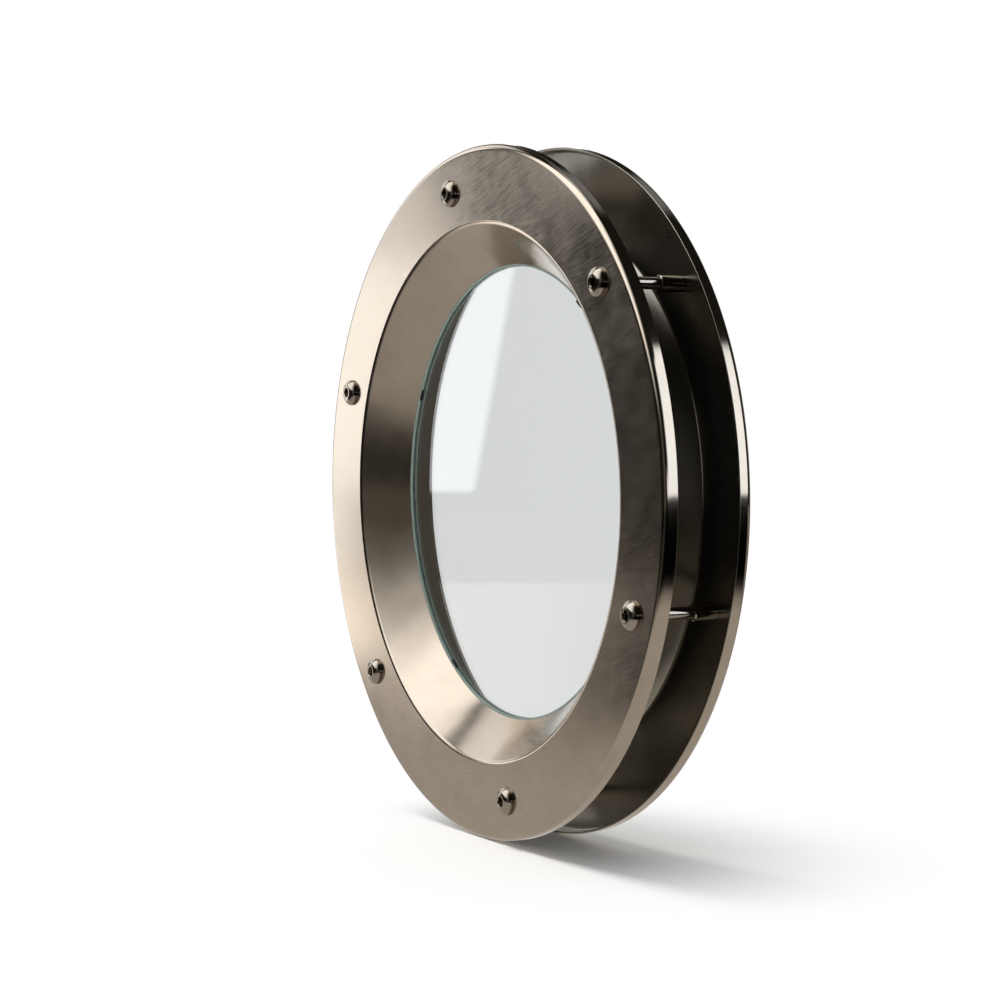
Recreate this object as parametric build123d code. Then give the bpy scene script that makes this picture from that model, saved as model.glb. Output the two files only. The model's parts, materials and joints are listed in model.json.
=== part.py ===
import math
import os

from build123d import *

# Round porthole window for a door leaf. Two pressed stainless rings clamp a
# glass pane between their funnels, and six screws from the front run into
# sleeve nuts from the rear. Millimetres, +Z up, the window's axis along Y.
# The front looks toward -Y and the origin is the middle of the pane.

# The whole window
outer_radius = 175.0
overall_depth = 47.0

# Pressed rings, both of the same sheet
sheet_thickness = 1.5
rim_depth = 7.0
rim_bend_radius = 3.0
rim_edge_radius = 0.4
flange_width = 37.7
mouth_bend_radius = 3.5
funnel_width = 21.7

# Pane and the rubber channel round its edge
pane_thickness = 4.0
pane_overlap = 5.9
pane_edge_bevel = 0.6
channel_leg_thickness = 0.9
channel_web_thickness = 2.0
channel_lip = 0.8
pane_clearance = 0.1
pad_angles = (34.7, 115.5, 214.7, 295.5)
pad_width = 6.0
pad_reach = 2.4
pad_corner_radius = 0.6

# Six bolted joints, angles clockwise from the top as seen from the front
bolt_count = 6
bolt_edge_distance = 19.6
first_bolt_angle = -11.0
screw_diameter = 6.0
screw_hole_clearance = 0.3
screw_tip_bevel = 0.8
screw_engagement = 9.0
nut_diameter = 8.0
nut_hole_clearance = 0.2
nut_reach = 13.0
nut_mouth_bevel = 0.5
nut_bore_clearance = 0.1
nut_bore_spare = 1.5

# The domed head that screws and nuts share
head_radius = 6.9
head_edge_height = 1.3
head_height = 3.6
head_crown_radius = 3.5
head_dome_radius = 5.2
head_edge_bevel = 0.3
socket_width = 5.0
socket_depth = 2.4
socket_bevel = 0.4
socket_turn_step = 23.0

# Directions in an outline, in degrees
outward = 0
rearward = 90
inward = 180
frontward = -90

# Two ends of an outline nearer than this are the same point
same_point = 1e-6

mouth_radius = outer_radius - flange_width
throat_radius = mouth_radius - funnel_width
pane_radius = throat_radius + pane_overlap
bolt_circle_radius = outer_radius - bolt_edge_distance
half_depth = overall_depth / 2
throat_face = pane_thickness / 2 + channel_leg_thickness
nut_mouth = half_depth - sheet_thickness - nut_reach
screw_tip = nut_mouth + screw_engagement
bolt_angles = [first_bolt_angle + index * 360 / bolt_count for index in range(bolt_count)]


def at_angle(solid, radius, angle):
    # Moves a solid from the axis out to a radius, clockwise from the top.
    turn = math.radians(angle)
    return Pos(radius * math.sin(turn), 0, radius * math.cos(turn)) * solid


def spun(edges):
    # Turns a closed outline, drawn as radius and depth, about the window's axis.
    return revolve(make_face(edges), Axis.Y)


def bend(centre, radius, start, end):
    # A round stretch of an outline about a centre, from one direction to another.
    points = []
    for angle in (start, (start + end) / 2, end):
        turn = math.radians(angle)
        points.append((centre[0] + radius * math.cos(turn), centre[1] + radius * math.sin(turn)))
    return ThreePointArc(*points)


def joined(curves):
    # Closes a run of curves with straight lines between their ends.
    edges = []
    for index, curve in enumerate(curves):
        here = curves[index - 1] @ 1
        if (curve @ 0 - here).length > same_point:
            edges.append(Line(here, curve @ 0))
        edges.append(curve)
    return edges


def funnel_slope():
    # Angle between the axis and the funnel, which leaves the mouth's bend as a
    # tangent and ends on the throat's radius at the channel.
    span = mouth_radius - throat_radius
    deep = half_depth - mouth_bend_radius - throat_face
    reach = math.hypot(span, deep)
    return math.degrees(math.acos(mouth_bend_radius / reach) - math.atan2(deep, span))


def ring(hole_radius):
    # Front ring: rim, flat flange, bend and funnel as one pressed sheet.
    front = -half_depth
    slope = funnel_slope()
    rim_centre = (outer_radius - rim_bend_radius, front + rim_bend_radius)
    mouth_centre = (mouth_radius, front + mouth_bend_radius)
    rim_end = front + rim_depth
    edge_centre = rim_end - rim_edge_radius
    rim_inside = outer_radius - sheet_thickness
    funnel_side = slope - inward
    throat_wall = sheet_thickness / math.cos(math.radians(slope))
    curves = [
        bend(rim_centre, rim_bend_radius, outward, frontward),
        bend(mouth_centre, mouth_bend_radius, frontward, funnel_side),
        Line((throat_radius, -throat_face), (throat_radius + throat_wall, -throat_face)),
        bend(mouth_centre, mouth_bend_radius - sheet_thickness, funnel_side, frontward),
        bend(rim_centre, rim_bend_radius - sheet_thickness, frontward, outward),
        bend((rim_inside + rim_edge_radius, edge_centre), rim_edge_radius, inward, rearward),
        bend((outer_radius - rim_edge_radius, edge_centre), rim_edge_radius, rearward, outward),
    ]
    sheet = spun(joined(curves))
    drill = Plane.XZ * Cylinder(hole_radius, overall_depth * 2)
    for angle in bolt_angles:
        sheet -= at_angle(drill, bolt_circle_radius, angle)
    return sheet


def pane():
    half = pane_thickness / 2
    disc = Plane.XZ * Cylinder(pane_radius, 2 * half)
    return chamfer(disc.edges().filter_by(GeomType.CIRCLE), pane_edge_bevel)


def channel():
    # U-shaped rubber channel: its legs lie between the funnels' throats and the
    # pane, and small pads reach over the pane's face.
    half = throat_face
    leg_inner = throat_radius - channel_lip
    web_inner = pane_radius + pane_clearance
    web_outer = web_inner + channel_web_thickness
    outline = Polyline(
        (leg_inner, -half),
        (web_outer, -half),
        (web_outer, half),
        (leg_inner, half),
        (leg_inner, pane_thickness / 2),
        (web_inner, pane_thickness / 2),
        (web_inner, -pane_thickness / 2),
        (leg_inner, -pane_thickness / 2),
        close=True,
    )
    body = spun(outline.edges())
    length = pad_reach + channel_lip
    blank = Rectangle(pad_width, length, align=(Align.CENTER, Align.MIN))
    inner_corners = blank.vertices().group_by(Axis.Y)[0]
    face = fillet(inner_corners, pad_corner_radius)
    pad = Plane.XZ * extrude(face, channel_leg_thickness)
    pad = Pos(0, -pane_thickness / 2, throat_radius - pad_reach) * pad
    for angle in pad_angles:
        body += pad.rotate(Axis.Y, angle)
    return body


def head(turn):
    # Domed head on the front side of the plane y = 0, with its hexagon socket.
    rim = head_radius - head_edge_bevel
    dome = RadiusArc(
        (head_radius, -head_edge_height),
        (head_crown_radius, -head_height),
        head_dome_radius,
    )
    outline = [
        Line((0, 0), (rim, 0)),
        Line((rim, 0), (head_radius, -head_edge_bevel)),
        Line((head_radius, -head_edge_bevel), (head_radius, -head_edge_height)),
        dome,
        Line((head_crown_radius, -head_height), (0, -head_height)),
        Line((0, -head_height), (0, 0)),
    ]
    body = spun(outline)
    hexagon = RegularPolygon(socket_width / 2, 6, major_radius=False, rotation=turn)
    socket = Pos(0, -head_height, 0) * (Plane.XZ * extrude(hexagon, -socket_depth))
    corner = socket_width / 2 / math.cos(math.pi / 6)
    mouth = spun(
        Polyline(
            (0, -head_height),
            (corner, -head_height),
            (corner - socket_bevel, -head_height + socket_bevel),
            (0, -head_height + socket_bevel),
            close=True,
        ).edges()
    )
    return body - socket - mouth


def screw(turn):
    radius = screw_diameter / 2
    shank = spun(
        Polyline(
            (0, -half_depth),
            (radius, -half_depth),
            (radius, screw_tip - screw_tip_bevel),
            (radius - screw_tip_bevel, screw_tip),
            (0, screw_tip),
            close=True,
        ).edges()
    )
    return Pos(0, -half_depth, 0) * head(turn) + shank


def sleeve_nut(turn):
    # Closed sleeve with a bore for the screw and the same head on the rear face.
    radius = nut_diameter / 2
    bore = screw_diameter / 2 + nut_bore_clearance
    bore_end = screw_tip + nut_bore_spare
    sleeve = spun(
        Polyline(
            (bore, nut_mouth),
            (radius - nut_mouth_bevel, nut_mouth),
            (radius, nut_mouth + nut_mouth_bevel),
            (radius, half_depth),
            (0, half_depth),
            (0, bore_end),
            (bore, bore_end),
            close=True,
        ).edges()
    )
    cap = mirror(Pos(0, -half_depth, 0) * head(turn), Plane.XZ)
    return sleeve + cap


os.makedirs("parts", exist_ok=True)
export_step(ring(screw_diameter / 2 + screw_hole_clearance), "parts/front_ring.step")
export_step(mirror(ring(nut_diameter / 2 + nut_hole_clearance), Plane.XZ), "parts/rear_ring.step")
export_step(pane(), "parts/glass_pane.step")
export_step(channel(), "parts/glazing_channel.step")
for index, angle in enumerate(bolt_angles):
    turn = index * socket_turn_step
    one_screw = at_angle(screw(turn), bolt_circle_radius, angle)
    one_nut = at_angle(sleeve_nut(-turn), bolt_circle_radius, angle)
    export_step(one_screw, f"parts/screw_{index + 1}.step")
    export_step(one_nut, f"parts/sleeve_nut_{index + 1}.step")
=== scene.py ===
import json
import math

import bpy
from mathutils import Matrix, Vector
from mathutils.geometry import tessellate_polygon


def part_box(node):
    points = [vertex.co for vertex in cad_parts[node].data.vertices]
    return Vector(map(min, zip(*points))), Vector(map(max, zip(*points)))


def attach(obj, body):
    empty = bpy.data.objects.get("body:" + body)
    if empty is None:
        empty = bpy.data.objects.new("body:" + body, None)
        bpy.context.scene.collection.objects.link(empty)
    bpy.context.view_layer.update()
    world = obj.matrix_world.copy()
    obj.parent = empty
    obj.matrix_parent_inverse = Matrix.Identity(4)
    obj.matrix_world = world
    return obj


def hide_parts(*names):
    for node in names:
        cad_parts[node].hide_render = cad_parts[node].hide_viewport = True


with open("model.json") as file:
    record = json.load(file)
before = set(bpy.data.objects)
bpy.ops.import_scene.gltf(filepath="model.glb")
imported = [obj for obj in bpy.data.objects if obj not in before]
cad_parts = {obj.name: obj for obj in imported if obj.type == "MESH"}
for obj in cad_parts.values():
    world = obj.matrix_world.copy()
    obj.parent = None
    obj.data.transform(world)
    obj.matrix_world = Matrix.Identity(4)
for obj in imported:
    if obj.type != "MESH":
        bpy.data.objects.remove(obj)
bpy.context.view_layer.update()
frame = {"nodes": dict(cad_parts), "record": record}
nodes = frame["nodes"]

mm = 0.001  # the scene is in metres

# Sizes and names read from the frame
ringLow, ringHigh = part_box("front_ring")
outerRadius = ringHigh.x
faceDepth = -ringLow.y  # the flat front face lies this far in front of the pane's middle
floorHeight = ringLow.z
screws = sorted(name for name in nodes if name.startswith("screw_"))
sleeveNuts = sorted(name for name in nodes if name.startswith("sleeve_nut_"))
print("frame loaded, rings are", round(2 * outerRadius / mm), "mm across")


def hexColour(text):
    # sRGB hex to the linear colour that shaders take
    values = [int(text[i:i + 2], 16) / 255 for i in (0, 2, 4)]
    return [v / 12.92 if v <= 0.04045 else ((v + 0.055) / 1.055) ** 2.4 for v in values] + [1]


def addNode(owner, kind, inputs=None, **settings):
    # Adds a node to a material or the world. Inputs are links or plain values, and
    # settings are the node's own properties
    node = owner.node_tree.nodes.new(kind)
    for name, value in settings.items():
        setattr(node, name, value)
    for name, value in (inputs or {}).items():
        if isinstance(value, bpy.types.Node):
            value = next(o for o in value.outputs if o.enabled)
        if isinstance(value, bpy.types.NodeSocket):
            owner.node_tree.links.new(value, node.inputs[name])
        else:
            node.inputs[name].default_value = value
    return node


def newMaterial(name):
    material = bpy.data.materials.new(name)
    material.use_nodes = True
    material.node_tree.nodes.clear()
    return material


def finishMaterial(material, shader):
    output = addNode(material, "ShaderNodeOutputMaterial")
    material.node_tree.links.new(shader.outputs[0], output.inputs["Surface"])
    return material


def lengthWithin(material, vector, axes):
    # How long a vector is when only the axes marked 1 count
    kept = addNode(material, "ShaderNodeVectorMath", {0: vector, 1: axes}, operation="MULTIPLY")
    return addNode(material, "ShaderNodeVectorMath", {0: kept}, operation="LENGTH").outputs["Value"]


# Pressed rings, turned again with finer bends than the frame's meshes have, so
# that the polished edges mirror the studio cleanly

ringShape = {
    "sheet": 1.5 * mm,
    "mouthBend": 3.5 * mm,
    "rimEdge": 0.4 * mm,
    "throatEdge": 0.25 * mm,  # a slight round where the funnel ends at the channel
    "holeRadius": {"front_ring": 3.3 * mm, "rear_ring": 4.2 * mm},
    "turnSteps": 480,
    "bendSteps": 14,
    "edgeSteps": 5,
    "holeSteps": 40,
}

sameDepth = 0.01 * mm  # points nearer in depth than this lie on the flat face
pointGrid = 1e8  # points are the same when they agree on this many steps to a metre


def arc(centre, radius, start, end, steps, hollow=False):
    # Points of a bend as (radius, depth), each with its normal. 0 degrees is outward
    # and 90 away from the pane
    points = []
    for i in range(steps + 1):
        a = math.radians(start + (end - start) * i / steps)
        c, s = math.cos(a), math.sin(a)
        facing = (-c, -s) if hollow else (c, s)
        points.append(((centre[0] + radius * c, centre[1] + radius * s), facing))
    return points


def ringOutline(nodeName):
    # The sheet's outline from the frame's own measures, as runs of points
    vertices = [v.co for v in nodes[nodeName].data.vertices]
    onFace = [v for v in vertices if abs(abs(v.y) - faceDepth) < sameDepth]
    faceRadii = [math.hypot(v.x, v.z) for v in onFace]
    throat = min(math.hypot(v.x, v.z) for v in vertices)
    throatDepth = min(abs(v.y) for v in vertices)
    rimEnd = abs(frame["record"]["mounts"][0]["pos_m"][1])  # the first mount is the rim's seat
    mouth, rimStart = min(faceRadii), max(faceRadii)
    rimBend = outerRadius - rimStart
    sheet, mouthBend, edge = ringShape["sheet"], ringShape["mouthBend"], ringShape["rimEdge"]
    steps, edgeSteps = ringShape["bendSteps"], ringShape["edgeSteps"]

    # The funnel leaves the mouth's bend as a tangent and ends at the throat
    inward, deep = mouth - throat, faceDepth - mouthBend - throatDepth
    slope = math.acos(mouthBend / math.hypot(inward, deep)) - math.atan2(deep, inward)
    turned = 180 - math.degrees(slope)
    facing = (-math.cos(slope), math.sin(slope))
    behind = (math.cos(slope), -math.sin(slope))
    towardPane = (0, -1)
    wall = sheet / math.cos(slope)  # the sheet is cut off parallel to the pane
    lip = ringShape["throatEdge"]
    funnelEnd = (throat + math.sin(slope) * lip, throatDepth + math.cos(slope) * lip)

    mouthCentre = (mouth, faceDepth - mouthBend)
    rimCentre = (rimStart, faceDepth - rimBend)
    innerEdge = (outerRadius - sheet + edge, rimEnd + edge)
    outerEdge = (outerRadius - edge, rimEnd + edge)
    return [
        arc(rimCentre, rimBend, 0, 90, steps),
        arc(mouthCentre, mouthBend, 90, turned, steps),
        [(funnelEnd, facing), ((throat + lip, throatDepth), towardPane)],
        [((throat + wall, throatDepth), towardPane)],
        [((throat + wall, throatDepth), behind)],
        arc(mouthCentre, mouthBend - sheet, turned, 90, steps, hollow=True),
        arc(rimCentre, rimBend - sheet, 90, 0, steps, hollow=True),
        arc(innerEdge, edge, 180, 270, edgeSteps),
        arc(outerEdge, edge, 270, 360, edgeSteps),
    ]


def boltCentre(bolt):
    # The middle of a screw's or nut's box, which lies on its axis
    low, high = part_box(bolt)
    return (low + high) / 2


def makeRing(nodeName, side, bolts, material):
    # side is -1 for the ring in front of the pane and 1 for the one behind it
    points, faces, normals, loops = [], [], [], {}
    turnSteps, holeSteps = ringShape["turnSteps"], ringShape["holeSteps"]

    def circle(centre, radius, depth, steps):
        start = len(points)
        for i in range(steps):
            a = 2 * math.pi * i / steps
            x, z = centre.x + radius * math.sin(a), centre.z + radius * math.cos(a)
            points.append((x, side * depth, z))
        return list(range(start, start + steps))

    def loopAt(place):
        key = (round(place[0] * pointGrid), round(place[1] * pointGrid))
        if key not in loops:
            loops[key] = circle(Vector(), place[0], place[1], turnSteps)
        return loops[key]

    def addFace(corners, facings):
        a, b, c = (Vector(points[i]) for i in corners[:3])
        if (b - a).cross(c - a).dot(sum(facings, Vector())) < 0:
            corners, facings = corners[::-1], facings[::-1]
        faces.append(corners)
        normals.extend(facings)

    def spun(index, facing):
        a = 2 * math.pi * index / turnSteps
        return Vector((facing[0] * math.sin(a), side * facing[1], facing[0] * math.cos(a)))

    def band(first, second):
        # Joins two points of the outline all round
        one, two = loopAt(first[0]), loopAt(second[0])
        if one is two:
            return
        for i in range(turnSteps):
            j = (i + 1) % turnSteps
            facings = [spun(i, first[1]), spun(j, first[1]), spun(j, second[1]), spun(i, second[1])]
            addFace([one[i], one[j], two[j], two[i]], facings)

    def flange(first, second, holes):
        # Fills the flat between two points of the outline, round the bolts' holes
        rims = [loopAt(first[0]), loopAt(second[0])]
        rims.sort(key=lambda loop: -max(points[i][0] for i in loop))
        edges = rims + holes
        chosen = [i for loop in edges for i in loop]
        outlines = [[Vector((points[i][0], points[i][2], 0)) for i in loop] for loop in edges]
        facing = Vector((0, side * first[1][1], 0))
        for triangle in tessellate_polygon(outlines):
            addFace([chosen[i] for i in triangle], [facing] * 3)

    def holeLoops(depth):
        radius = ringShape["holeRadius"][nodeName]
        return [circle(boltCentre(bolt), radius, depth, holeSteps) for bolt in bolts]

    runs = ringOutline(nodeName)
    frontHoles, backHoles = holeLoops(faceDepth), holeLoops(faceDepth - ringShape["sheet"])
    flanges = {0: frontHoles, 5: backHoles}  # after these runs comes the flat, front and back
    for number, run in enumerate(runs):
        for first, second in zip(run, run[1:]):
            band(first, second)
        following = runs[(number + 1) % len(runs)]
        if number in flanges:
            flange(run[-1], following[0], flanges[number])
        else:
            band(run[-1], following[0])
    for bolt, one, two in zip(bolts, frontHoles, backHoles):
        centre = boltCentre(bolt)
        for i in range(holeSteps):
            corners = [one[i], one[i - 1], two[i - 1], two[i]]
            inward = [Vector((centre.x - points[k][0], 0, centre.z - points[k][2])) for k in corners]
            addFace(corners, [v.normalized() for v in inward])

    mesh = bpy.data.meshes.new(nodeName + "Sheet")
    mesh.from_pydata(points, [], faces)
    mesh.polygons.foreach_set("use_smooth", [True] * len(faces))
    mesh.normals_split_custom_set([n.normalized() for n in normals])
    mesh.update()
    mesh.materials.append(material)
    ring = bpy.data.objects.new(nodeName + "Sheet", mesh)
    bpy.context.scene.collection.objects.link(ring)
    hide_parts(nodeName)
    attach(ring, "root")


ringFinish = {
    "steel": "ab9f90",  # warm nickel tone of the stainless sheet
    "backSteel": "908a7f",  # the back of the sheet, pickled and never polished
    "faceRoughness": 0.14,
    "funnelRoughness": 0.18,
    "rimRoughness": 0.09,
    "backRoughness": 0.23,
    "faceStart": (0.35 * mm, 0.05 * mm),  # the brushing fades in between these depths below the face
    "rimStart": (4 * mm, 2.6 * mm),  # and the polish between these distances from the outside
    "backTurn": 0.2,  # all back finish where the normal points to the pane by at least this much
    "strokeLength": 11 * mm,
    "strokeWidth": 0.3 * mm,  # drawn coarser than the real scratches, so that they show
    "strokeDepth": 0.0015 * mm,
    "strokeAngle": 16,  # degrees to the level, rising to the right
    "strokeStrength": 0.5,
    "strokeRoughness": (-0.035, 0.04),  # least and most that a stroke adds
    "strokeShade": (-0.055, 0.055),
    "cloudSize": 17 * mm,
    "cloudRoughness": (-0.02, 0.025),
    "cloudShade": (0.93, 1.05),
    "noiseRange": (0.3, 0.7),  # noise between these values is stretched over least to most
    "streakRange": (0.25, 0.75),  # the same for the strokes' roughness
    "waveSize": 36 * mm,  # how far apart the pressed sheet's soft waves lie
    "faceWave": 0.015 * mm,
    "funnelWave": 1.0 * mm,
}


def ringSteel():
    # AISI 304 sheet, pressed to shape. The flat face is brushed in short random
    # strokes, the funnel keeps a satin press finish, rims and bends are polished.
    finish = ringFinish
    material = newMaterial("brushedStainlessSheet")

    # Where a point lies: on the flat face, on the rim, or on the back of the sheet
    place = addNode(material, "ShaderNodeTexCoord").outputs["Object"]
    xyz = addNode(material, "ShaderNodeSeparateXYZ", {0: place})
    radius = lengthWithin(material, place, (1, 0, 1))
    depth = addNode(material, "ShaderNodeMath", {0: xyz.outputs["Y"]}, operation="ABSOLUTE")
    onFace = addNode(material, "ShaderNodeMapRange", {
        "Value": depth,
        "From Min": faceDepth - finish["faceStart"][0],
        "From Max": faceDepth - finish["faceStart"][1],
    })
    onRim = addNode(material, "ShaderNodeMapRange", {
        "Value": radius,
        "From Min": outerRadius - finish["rimStart"][0],
        "From Max": outerRadius - finish["rimStart"][1],
    })
    normal = addNode(material, "ShaderNodeNewGeometry").outputs["Normal"]
    facing = addNode(material, "ShaderNodeSeparateXYZ", {0: normal})
    side = addNode(material, "ShaderNodeMath", {0: xyz.outputs["Y"]}, operation="SIGN")
    outward = addNode(material, "ShaderNodeMath", {0: facing.outputs["Y"], 1: side}, operation="MULTIPLY")
    onBack = addNode(material, "ShaderNodeMapRange", {
        "Value": outward,
        "From Min": 0.0,
        "From Max": -finish["backTurn"],
    })

    # Brushing is noise drawn out along the strokes. Clouds and waves are rounder noise
    tilt = (0, math.radians(finish["strokeAngle"]), 0)
    turned = addNode(material, "ShaderNodeMapping", {"Vector": place, "Rotation": tilt})
    along, over = 1 / finish["strokeLength"], 1 / finish["strokeWidth"]
    drawn = addNode(material, "ShaderNodeVectorMath", {
        0: turned,
        1: (along, over, over),
    }, operation="MULTIPLY")
    strokes = addNode(material, "ShaderNodeTexNoise", {
        "Vector": drawn,
        "Scale": 1.0,
        "Detail": 2.0,
        "Roughness": 0.5,
    })
    clouds = addNode(material, "ShaderNodeTexNoise", {
        "Vector": place,
        "Scale": 1 / finish["cloudSize"],
        "Detail": 5.0,
        "Roughness": 0.65,
    })
    waves = addNode(material, "ShaderNodeTexNoise", {
        "Vector": place,
        "Scale": 1 / finish["waveSize"],
        "Detail": 0.6,
    })

    # Roughness: satin with clouds, streaked on the face, smoother on the rim
    spread = addNode(material, "ShaderNodeMapRange", {
        "Value": clouds,
        "From Min": finish["noiseRange"][0],
        "From Max": finish["noiseRange"][1],
        "To Min": finish["cloudRoughness"][0],
        "To Max": finish["cloudRoughness"][1],
    })
    streaks = addNode(material, "ShaderNodeMapRange", {
        "Value": strokes,
        "From Min": finish["streakRange"][0],
        "From Max": finish["streakRange"][1],
        "To Min": finish["strokeRoughness"][0],
        "To Max": finish["strokeRoughness"][1],
    })
    streaks = addNode(material, "ShaderNodeMath", {0: streaks, 1: onFace}, operation="MULTIPLY")
    rough = addNode(material, "ShaderNodeMapRange", {
        "Value": onFace,
        "To Min": finish["funnelRoughness"],
        "To Max": finish["faceRoughness"],
    })
    rough = addNode(material, "ShaderNodeMath", {0: rough, 1: spread}, operation="ADD")
    rough = addNode(material, "ShaderNodeMath", {0: rough, 1: streaks}, operation="ADD")
    rough = addNode(material, "ShaderNodeMix", {"Factor": onRim, "A": rough, "B": finish["rimRoughness"]})
    rough = addNode(material, "ShaderNodeMix", {"Factor": onBack, "A": rough, "B": finish["backRoughness"]})

    # Relief: soft waves everywhere but on the rim, and the strokes on the face
    offRim = addNode(material, "ShaderNodeMath", {0: 1.0, 1: onRim}, operation="SUBTRACT")
    waveDepth = addNode(material, "ShaderNodeMapRange", {
        "Value": onFace,
        "To Min": finish["funnelWave"],
        "To Max": finish["faceWave"],
    })
    swell = addNode(material, "ShaderNodeBump", {
        "Height": waves,
        "Strength": offRim,
        "Distance": waveDepth,
    })
    scratch = addNode(material, "ShaderNodeMath", {
        0: onFace,
        1: finish["strokeStrength"],
    }, operation="MULTIPLY")
    relief = addNode(material, "ShaderNodeBump", {
        "Height": strokes,
        "Strength": scratch,
        "Distance": finish["strokeDepth"],
        "Normal": swell,
    })

    # Tone: the steel's own, a little lighter and darker with the clouds and strokes
    shade = addNode(material, "ShaderNodeMapRange", {
        "Value": clouds,
        "From Min": finish["noiseRange"][0],
        "From Max": finish["noiseRange"][1],
        "To Min": finish["cloudShade"][0],
        "To Max": finish["cloudShade"][1],
    })
    grain = addNode(material, "ShaderNodeMapRange", {
        "Value": strokes,
        "From Min": finish["noiseRange"][0],
        "From Max": finish["noiseRange"][1],
        "To Min": finish["strokeShade"][0],
        "To Max": finish["strokeShade"][1],
    })
    grain = addNode(material, "ShaderNodeMath", {0: grain, 1: onFace}, operation="MULTIPLY")
    shade = addNode(material, "ShaderNodeMath", {0: shade, 1: grain}, operation="ADD")
    front, back = hexColour(finish["steel"]), hexColour(finish["backSteel"])
    tone = addNode(material, "ShaderNodeMix", {"Factor": onBack, "A": front, "B": back}, data_type="RGBA")
    tone = addNode(material, "ShaderNodeVectorMath", {0: tone, 1: shade}, operation="MULTIPLY")
    steel = addNode(material, "ShaderNodeBsdfPrincipled", {
        "Base Color": tone,
        "Metallic": 1.0,
        "Roughness": rough,
        "Normal": relief,
    })
    return finishMaterial(material, steel)


def dress(node, material):
    nodes[node].data.materials.clear()
    nodes[node].data.materials.append(material)


sheetSteel = ringSteel()
makeRing("front_ring", -1, screws, sheetSteel)
makeRing("rear_ring", 1, sleeveNuts, sheetSteel)
print("rings dressed")

# Pane and its rubber channel

paneFinish = {
    "glass": "dde0df",  # soda-lime float glass, all but clear
    "glassIor": 1.5,
    "shadow": "eaeceb",  # what is left of the light that falls through it
    "rubber": "0e0f0e",
    "rubberIor": 1.5,
    "lip": "93a39b",  # painted glint: grey-green painted on the lip for the light off the pane's green edge
    "lipRadius": 116.3 * mm,
    "lipReach": 1.7 * mm,  # the pads lie further in than the lip, the web further out
    "bloomSize": 3 * mm,
    "bloomRoughness": (0.7, 0.9),
}


def floatGlass():
    # Soda-lime float glass: clear through the pane, and it mirrors the studio faintly
    material = newMaterial("floatGlass")
    glass = addNode(material, "ShaderNodeBsdfPrincipled", {
        "Base Color": hexColour(paneFinish["glass"]),
        "Roughness": 0.0,
        "IOR": paneFinish["glassIor"],
        "Transmission Weight": 1.0,
    })
    clear = addNode(material, "ShaderNodeBsdfTransparent", {"Color": hexColour(paneFinish["shadow"])})
    path = addNode(material, "ShaderNodeLightPath")
    shadow, diffuse = path.outputs["Is Shadow Ray"], path.outputs["Is Diffuse Ray"]
    lit = addNode(material, "ShaderNodeMath", {0: shadow, 1: diffuse}, operation="MAXIMUM")
    pane = addNode(material, "ShaderNodeMixShader", {0: lit, 1: glass, 2: clear})
    return finishMaterial(material, pane)


def channelRubber():
    # EPDM glazing rubber, extruded: matt black with a faint bloom, and a painted grey-green glint on its
    # lip
    material = newMaterial("extrudedRubber")
    place = addNode(material, "ShaderNodeTexCoord").outputs["Object"]
    bloom = addNode(material, "ShaderNodeTexNoise", {
        "Vector": place,
        "Scale": 1 / paneFinish["bloomSize"],
        "Detail": 3.0,
    })
    rough = addNode(material, "ShaderNodeMapRange", {
        "Value": bloom,
        "To Min": paneFinish["bloomRoughness"][0],
        "To Max": paneFinish["bloomRoughness"][1],
    })
    radius = lengthWithin(material, place, (1, 0, 1))
    # The lip's band gets a painted glint, a grey-green that stands in for light off the pane's edge
    onLip = addNode(material, "ShaderNodeMath", {
        0: radius,
        1: paneFinish["lipRadius"],
        2: paneFinish["lipReach"],
    }, operation="COMPARE")
    black, lip = hexColour(paneFinish["rubber"]), hexColour(paneFinish["lip"])
    tone = addNode(material, "ShaderNodeMix", {"Factor": onLip, "A": black, "B": lip}, data_type="RGBA")
    rubber = addNode(material, "ShaderNodeBsdfPrincipled", {
        "Base Color": tone,
        "Roughness": rough,
        "IOR": paneFinish["rubberIor"],
    })
    return finishMaterial(material, rubber)


dress("glass_pane", floatGlass())
dress("glazing_channel", channelRubber())
print("pane and channel dressed")

# Screws and sleeve nuts

boltFinish = {
    "steel": "989084",  # darker than the rings' sheet: painted shade that darkens the heads
    "roughness": (0.05, 0.13),  # least and most, in the marks of the polishing barrel
    "markSize": 1.2 * mm,
}


def turnedSteel():
    # A2 stainless, turned and barrel polished: bright, with faint marks, and its tone darkened as painted
    # shade
    material = newMaterial("polishedStainlessFastener")
    place = addNode(material, "ShaderNodeTexCoord").outputs["Object"]
    marks = addNode(material, "ShaderNodeTexNoise", {
        "Vector": place,
        "Scale": 1 / boltFinish["markSize"],
        "Detail": 2.0,
    })
    rough = addNode(material, "ShaderNodeMapRange", {
        "Value": marks,
        "To Min": boltFinish["roughness"][0],
        "To Max": boltFinish["roughness"][1],
    })
    steel = addNode(material, "ShaderNodeBsdfPrincipled", {
        "Base Color": hexColour(boltFinish["steel"]),
        "Metallic": 1.0,
        "Roughness": rough,
    })
    return finishMaterial(material, steel)


boltSteel = turnedSteel()
for name in screws + sleeveNuts:
    dress(name, boltSteel)
print("screws and nuts dressed")

# Studio


def direction(azimuth, elevation):
    # 0 is straight out from the front, 90 to the right of it
    a, e = math.radians(azimuth), math.radians(elevation)
    return Vector((math.sin(a) * math.cos(e), -math.cos(a) * math.cos(e), math.sin(e)))


def smooth(value):
    # Eases from 0 to 1, and stays there beyond them
    value = min(max(value, 0), 1)
    return value * value * (3 - 2 * value)


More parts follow.
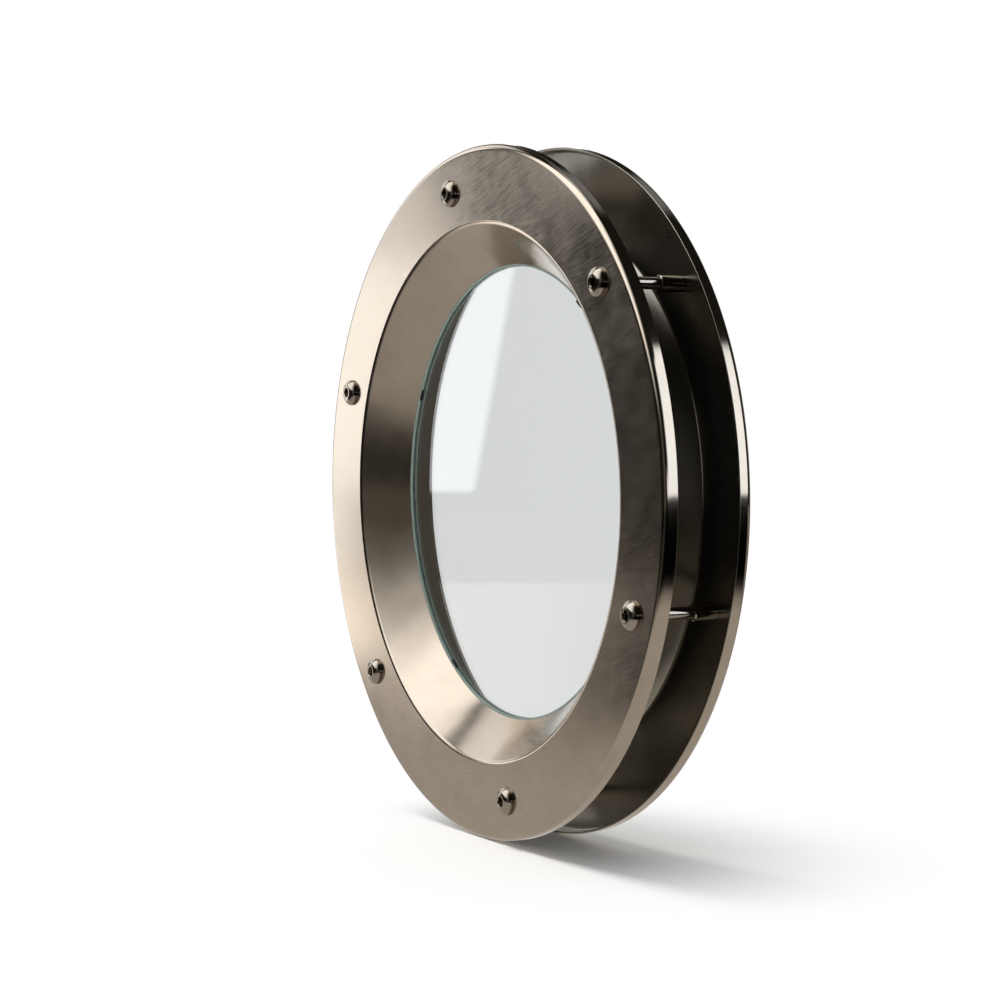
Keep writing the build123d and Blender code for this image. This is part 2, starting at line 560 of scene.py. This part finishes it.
def addStage(name, points, faces, material, cover=None):
    # Adds a piece of the studio. Cover is a value for each point, which its material reads
    mesh = bpy.data.meshes.new(name)
    mesh.from_pydata(points, [], faces)
    mesh.materials.append(material)
    if cover:
        mesh.attributes.new("cover", "FLOAT", "POINT").data.foreach_set("value", cover)
    thing = bpy.data.objects.new(name, mesh)
    bpy.context.scene.collection.objects.link(thing)
    return thing


def onlyInReflections(thing):
    for use in ("camera", "diffuse", "transmission", "volume_scatter", "shadow"):
        setattr(thing, "visible_" + use, False)


def gridFaces(wide, high):
    # The four-cornered faces between rows of points
    starts = [j * wide + i for j in range(high - 1) for i in range(wide - 1)]
    return [(k, k + 1, k + wide + 1, k + wide) for k in starts]


def showsWhite(owner):
    # 1 for rays that see the white background: straight, mirrored or through glass
    path = addNode(owner, "ShaderNodeLightPath")
    camera, glossy = path.outputs["Is Camera Ray"], path.outputs["Is Glossy Ray"]
    seen = addNode(owner, "ShaderNodeMath", {0: camera, 1: glossy}, operation="MAXIMUM")
    through = path.outputs["Is Transmission Ray"]
    return addNode(owner, "ShaderNodeMath", {0: seen, 1: through}, operation="MAXIMUM")


def litCloth(name, colour, strength):
    # The vertices' cover says how opaque the cloth is
    material = newMaterial(name)
    cover = addNode(material, "ShaderNodeAttribute", attribute_name="cover").outputs["Fac"]
    light = addNode(material, "ShaderNodeEmission", {"Color": hexColour(colour), "Strength": strength})
    clear = addNode(material, "ShaderNodeBsdfTransparent")
    cloth = addNode(material, "ShaderNodeMixShader", {0: cover, 1: clear, 2: light})
    return finishMaterial(material, cloth)


def litFloor(name, colour):
    # The vertices' cover says how brightly it glows: the floor's light and shade, painted
    material = newMaterial(name)
    cover = addNode(material, "ShaderNodeAttribute", attribute_name="cover").outputs["Fac"]
    light = addNode(material, "ShaderNodeEmission", {"Color": hexColour(colour), "Strength": cover})
    return finishMaterial(material, light)


floorFinish = {
    "colour": "f4f3f1",
    "reach": 12.0,  # metres from the origin to each side
    "glowAtObject": 0.04,  # how much of the floor's white at the object is painted glow and not the lamp's light
    "centre": (0.05, 0, 0),  # round here the lamp's own light and shadow show
    "fade": (0.03, 0.2),  # and between these distances from there the painted glow takes over and lifts the shadow, more on the object's left
}


def studioVinyl():
    # Pale vinyl floor, white to the eye: away from the object a painted glow whitens it and lifts the
    # lamp's shadow, near it the shadow is the lamp's own
    material = newMaterial("paleStudioVinyl")
    paint = addNode(material, "ShaderNodeBsdfDiffuse", {"Color": hexColour(floorFinish["colour"])})
    white = addNode(material, "ShaderNodeEmission", {"Strength": 1.0})
    place = addNode(material, "ShaderNodeTexCoord").outputs["Object"]
    centre = floorFinish["centre"]
    beside = addNode(material, "ShaderNodeVectorMath", {0: place, 1: centre}, operation="SUBTRACT")
    share = addNode(material, "ShaderNodeMapRange", {
        "Value": lengthWithin(material, beside, (1, 1, 0)),
        "From Min": floorFinish["fade"][0],
        "From Max": floorFinish["fade"][1],
        "To Min": floorFinish["glowAtObject"],
        "To Max": 1.0,
    }, interpolation_type="SMOOTHSTEP")
    share = addNode(material, "ShaderNodeMath", {0: share, 1: showsWhite(material)}, operation="MULTIPLY")
    vinyl = addNode(material, "ShaderNodeMixShader", {0: share, 1: paint, 2: white})
    return finishMaterial(material, vinyl)


reach = floorFinish["reach"]
corners = ((-reach, -reach), (reach, -reach), (reach, reach), (-reach, reach))
floorPoints = [(x, y, floorHeight) for x, y in corners]
addStage("studioFloor", floorPoints, [(0, 1, 2, 3)], studioVinyl())

# A glowing sheet just above the floor, seen only in reflections, with the floor's light and shade painted
# in:
# a painted pool of light near the object, painted shade to the right and in front, and a painted bright
# patch far to the left

mirroredFloor = {
    "colour": "fffaf4",
    "brightness": 0.66,
    "lift": 0.5 * mm,  # it lies this far above the floor
    "start": 0.02,  # metres from the origin
    "reach": 3.45,  # and this many more
    "crowding": 1.7,  # its circles lie closer together near the object
    "steps": (361, 48),
}

# Patches of that floor, laid over each other in this order. Each has its first and last
# azimuth, the degrees over which these soften, how many metres out it starts and over
# how many it comes in, its brightness, and how much of it is laid on.
floorPatches = {
    "underCard": ((-66, -52.5), (2, 2), (0.35, 0.25), 1.06, 1.0),
    "farFront": ((-54, 44), (8, 20), (0.3, 0.4), 0.0, 0.8),
    "behind": ((150, 248), (30, 14), (0.0, 0.02), 0.0, 0.75),
    "right": ((-10, 170), (50, 50), (0.36, 0.12), 0.0, 1.0),
    "nearFront": ((-61, 15), (8, 22), (0.12, 0.8), 0.0, 0.8),
    "ahead": ((-65.6, 20), (0.6, 20), (1.62, 0.1), 0.0, 0.9),
    "paintedBrightPatch": ((-80, -64.9), (8, 1.2), (0.6, 0.5), 2.7, 1.0),
}


# The glow's painted light and shade at a point of the floor
def floorLight(azimuth, distance):
    value = mirroredFloor["brightness"]
    for azimuths, fades, outward, brightness, strength in floorPatches.values():
        turn = (azimuth - azimuths[0]) % 360
        left = azimuths[1] - azimuths[0] - turn
        share = smooth(turn / fades[0]) * smooth(left / fades[1])
        share *= smooth((distance - outward[0]) / outward[1])
        value += (brightness - value) * strength * share
    return value


def addMirroredFloor():
    points, light = [], []
    wide, high = mirroredFloor["steps"]
    for j in range(high):
        r = mirroredFloor["start"] + mirroredFloor["reach"] * (j / (high - 1)) ** mirroredFloor["crowding"]
        for i in range(wide):
            a = -180 + 360 * i / (wide - 1)
            place = direction(a, 0) * r
            points.append((place.x, place.y, floorHeight + mirroredFloor["lift"]))
            light.append(floorLight(a, r))
    material = litFloor("floorGlow", mirroredFloor["colour"])
    onlyInReflections(addStage("floorGlow", points, gridFaces(wide, high), material, light))


addMirroredFloor()

# Curved panels round the object, seen only in reflections: the dim walls, the cards
# and the softboxes. Each has its azimuths, its elevations, the degrees over which its
# first and last azimuth and its low and high edge soften, its distance in metres,
# colour and strength, and how many degrees it slants for each degree of height.
panelSteps = 41
panels = {
    "walls": ((-180, 180), (-12, 90), (0, 0, 0, 0), 3.4, "24241f", 1.0, 0),
    "leftWall": ((-122, -84), (-4, 56), (14, 10, 0, 30), 3.0, "8c8880", 1.0, 0),
    "backWall": ((-205, -112), (-4, 30), (25, 12, 0, 20), 3.1, "726f69", 0.9, 0),
    "leftWallLow": ((-112, -80), (-4, 14), (10, 10, 0, 8), 2.9, "aaa69e", 0.8, 0),
    "topCard": ((-160, -50), (58, 88), (50, 20, 16, 4), 2.7, "f4f8ff", 1.0, 0),
    "backLeftHigh": ((-165, -112), (40, 64), (12, 12, 8, 8), 2.75, "f4f8ff", 0.32, 0),
    "frontSoftbox": ((-61, 32), (11, 86), (8, 52, 12, 14), 2.6, "fafcff", 2.7, 0),
    "leftSoftbox": ((-101, -63), (4, 50), (14, 7, 12, 14), 2.6, "fafcff", 1.7, 0),
    "leftTopCard": ((-77, -61.5), (12.5, 27), (4, 2, 3, 5), 2.55, "fafcff", 2.3, 0),
    "backLeftCard": ((-136, -110), (6.9, 18), (8, 4, 2.4, 6), 2.9, "fff8ee", 2.4, 0),
    "frontWall": ((0, 40), (-4, 26), (10, 12, 0, 10), 3.1, "6f6b63", 0.9, 0),
    "rightWindow": ((68, 134), (0, 40), (30, 2, 0.5, 1.5), 2.2, "e8f2ff", 2.7, 0),
    "rightWindowLow": ((48, 128), (0, 9), (24, 4, 0.5, 6), 2.25, "e8f2ff", 2.5, 0),
    "leftCard": ((-73, -62.1), (-2.4, 6.6), (3, 0.3, 0.25, 0.2), 2.0, "fafcff", 2.6, 0.18),
    "leftCardHigh": ((-72, -60.4), (6.4, 14), (3, 2, 0.2, 2), 2.0, "fafcff", 1.8, -0.35),
    "leftCardFoot": ((-73, -64.9), (-5, -2.3), (3, 0.8, 0, 0.1), 2.0, "fafcff", 2.75, 0),
    "highCard": ((-60.5, -44), (7.3, 14.5), (4, 6, 3.5, 2.5), 2.0, "fafcff", 1.5, 0),
}


def addPanel(name, azimuths, elevations, fades, distance, colour, strength, lean):
    points, cover = [], []
    for j in range(panelSteps):
        e = elevations[0] + (elevations[1] - elevations[0]) * j / (panelSteps - 1)
        for i in range(panelSteps):
            a = azimuths[0] + (azimuths[1] - azimuths[0]) * i / (panelSteps - 1)
            points.append(direction(a + lean * (e - elevations[0]), e) * distance)
            edges = (a - azimuths[0], azimuths[1] - a, e - elevations[0], elevations[1] - e)
            value = 1
            for gap, fade in zip(edges, fades):
                if fade:
                    value *= smooth(gap / fade)
            cover.append(value)
    material = litCloth(name, colour, strength)
    onlyInReflections(addStage(name, points, gridFaces(panelSteps, panelSteps), material, cover))


for name, panel in panels.items():
    addPanel(name, *panel)

# World: dim light from all round, and white wherever the background is seen

background = {
    "white": "ffffff",
    "dimLight": 0.5,
}

world = bpy.data.worlds.new("studioWorld")
bpy.context.scene.world = world
world.use_nodes = True
world.node_tree.nodes.clear()
white = hexColour(background["white"])
dim = addNode(world, "ShaderNodeBackground", {"Color": white, "Strength": background["dimLight"]})
bright = addNode(world, "ShaderNodeBackground", {"Color": white, "Strength": 1.0})
mix = addNode(world, "ShaderNodeMixShader", {0: showsWhite(world), 1: dim, 2: bright})
addNode(world, "ShaderNodeOutputWorld", {"Surface": mix})

# Key lamp: it casts the shadow on the floor, and neither metal nor camera sees it

keyLight = {
    "power": 48,
    "size": 1.0,
    "from": (-70, 60),  # azimuth and elevation
    "distance": 2.3,
}

lamp = bpy.data.lights.new("keyLamp", "AREA")
lamp.shape = "DISK"
lamp.size = keyLight["size"]
lamp.energy = keyLight["power"]
keyLamp = bpy.data.objects.new("keyLamp", lamp)
bpy.context.scene.collection.objects.link(keyLamp)
keyLamp.location = direction(*keyLight["from"]) * keyLight["distance"]
keyLamp.rotation_euler = keyLamp.location.to_track_quat("Z", "Y").to_euler()
keyLamp.visible_glossy = False
keyLamp.visible_camera = False
print("studio lit")

# Camera

camera = {
    "place": (1110.05 * mm, -624.23 * mm, 51.17 * mm),
    "turn": 61.071,  # degrees to the left of straight ahead
    "tilt": 2.481,  # degrees down
    "lens": 90.0,  # millimetres, as the sensor's width
    "sensor": 36,
}

lens = bpy.data.cameras.new("photoCamera")
lens.lens = camera["lens"]
lens.sensor_width = camera["sensor"]
cameraObject = bpy.data.objects.new("photoCamera", lens)
bpy.context.scene.collection.objects.link(cameraObject)
cameraObject.location = camera["place"]
look = -direction(camera["turn"], camera["tilt"])
cameraObject.rotation_euler = look.to_track_quat("-Z", "Y").to_euler()
bpy.context.scene.camera = cameraObject
bpy.context.scene.view_settings.view_transform = "Standard"
print("camera placed")
